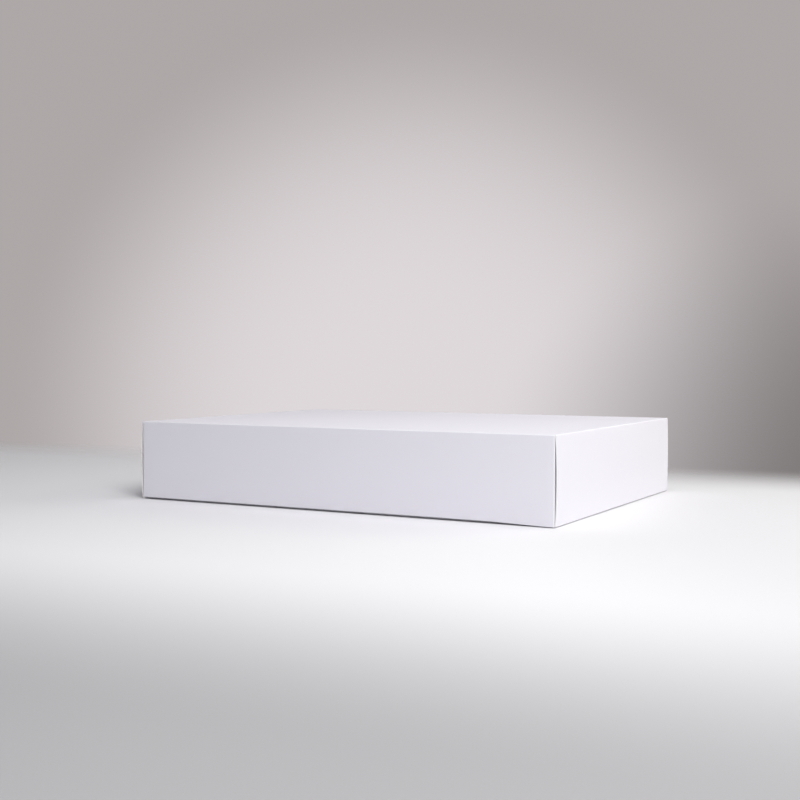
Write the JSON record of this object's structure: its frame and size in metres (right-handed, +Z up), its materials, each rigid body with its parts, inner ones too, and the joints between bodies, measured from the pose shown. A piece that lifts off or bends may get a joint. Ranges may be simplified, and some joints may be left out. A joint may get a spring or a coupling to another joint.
{
  "type": "folding gift box",
  "caption": "Flat white card gift box: a folded tray with rolled end walls under a full-depth lift-off lid of the same construction.",
  "frame": {"origin": "centre of the closed box's underside, where it rests", "axes": "+X along the long front, towards the viewer's right; -Y towards the viewer, square to the long front; +Z up through the lid"},
  "size_m": [0.3132, 0.226, 0.0545],
  "materials": {
    "lid_card": "smooth white coated card, satin matt",
    "base_card": "smooth white coated card, matt"
  },
  "bodies": {
    "base": {"base_bottom_panel": "base_card", "base_front_wall": "base_card", "base_front_left_ear": "base_card", "base_front_right_ear": "base_card", "base_back_wall": "base_card", "base_back_left_ear": "base_card", "base_back_right_ear": "base_card", "base_left_end_wall": "base_card", "base_left_rim": "base_card", "base_right_end_wall": "base_card", "base_right_rim": "base_card"},
    "base_left_inner": {"base_left_inner_wall": "base_card"},
    "base_left_foot": {"base_left_foot_flap": "base_card"},
    "base_right_inner": {"base_right_inner_wall": "base_card"},
    "base_right_foot": {"base_right_foot_flap": "base_card"},
    "lid_front": {"lid_front_wall": "lid_card", "lid_front_left_ear": "lid_card", "lid_front_right_ear": "lid_card"},
    "lid_back": {"lid_back_wall": "lid_card", "lid_back_left_ear": "lid_card", "lid_back_right_ear": "lid_card"},
    "lid": {"lid_top_panel": "lid_card", "lid_left_end_wall": "lid_card", "lid_left_rim": "lid_card", "lid_left_inner_wall": "lid_card", "lid_left_foot_flap": "lid_card", "lid_right_end_wall": "lid_card", "lid_right_rim": "lid_card", "lid_right_inner_wall": "lid_card", "lid_right_foot_flap": "lid_card"}
  },
  "joints": [
    {"name": "lid_lift", "type": "slide", "parent": "base", "child": "lid", "axis": [0, 0, 1], "range_m": [0, 0.12]},
    {"name": "lid_front_fold", "type": "hinge", "parent": "lid", "child": "lid_front", "pos_m": [0, -0.1123, 0.0538], "axis": [-1, 0, 0], "range_deg": [0, 90]},
    {"name": "lid_back_fold", "type": "hinge", "parent": "lid", "child": "lid_back", "pos_m": [0, 0.1123, 0.0538], "axis": [1, 0, 0], "range_deg": [0, 90]},
    {"name": "base_left_inner_fold", "type": "hinge", "parent": "base", "child": "base_left_inner", "pos_m": [-0.1505, 0, 0.0524], "axis": [0, -1, 0], "range_deg": [0, 90]},
    {"name": "base_left_foot_fold", "type": "hinge", "parent": "base_left_inner", "child": "base_left_foot", "pos_m": [-0.1497, 0, 0.00135], "axis": [0, -1, 0], "range_deg": [-90, 0]},
    {"name": "base_right_inner_fold", "type": "hinge", "parent": "base", "child": "base_right_inner", "pos_m": [0.1505, 0, 0.0524], "axis": [0, 1, 0], "range_deg": [0, 90]},
    {"name": "base_right_foot_fold", "type": "hinge", "parent": "base_right_inner", "child": "base_right_foot", "pos_m": [0.1497, 0, 0.00135], "axis": [0, 1, 0], "range_deg": [-90, 0]}
  ],
  "couplings": [
    {"joint": "base_left_foot_fold", "follows": "base_left_inner_fold", "ratio": -1},
    {"joint": "base_right_foot_fold", "follows": "base_right_inner_fold", "ratio": -1}
  ]
}
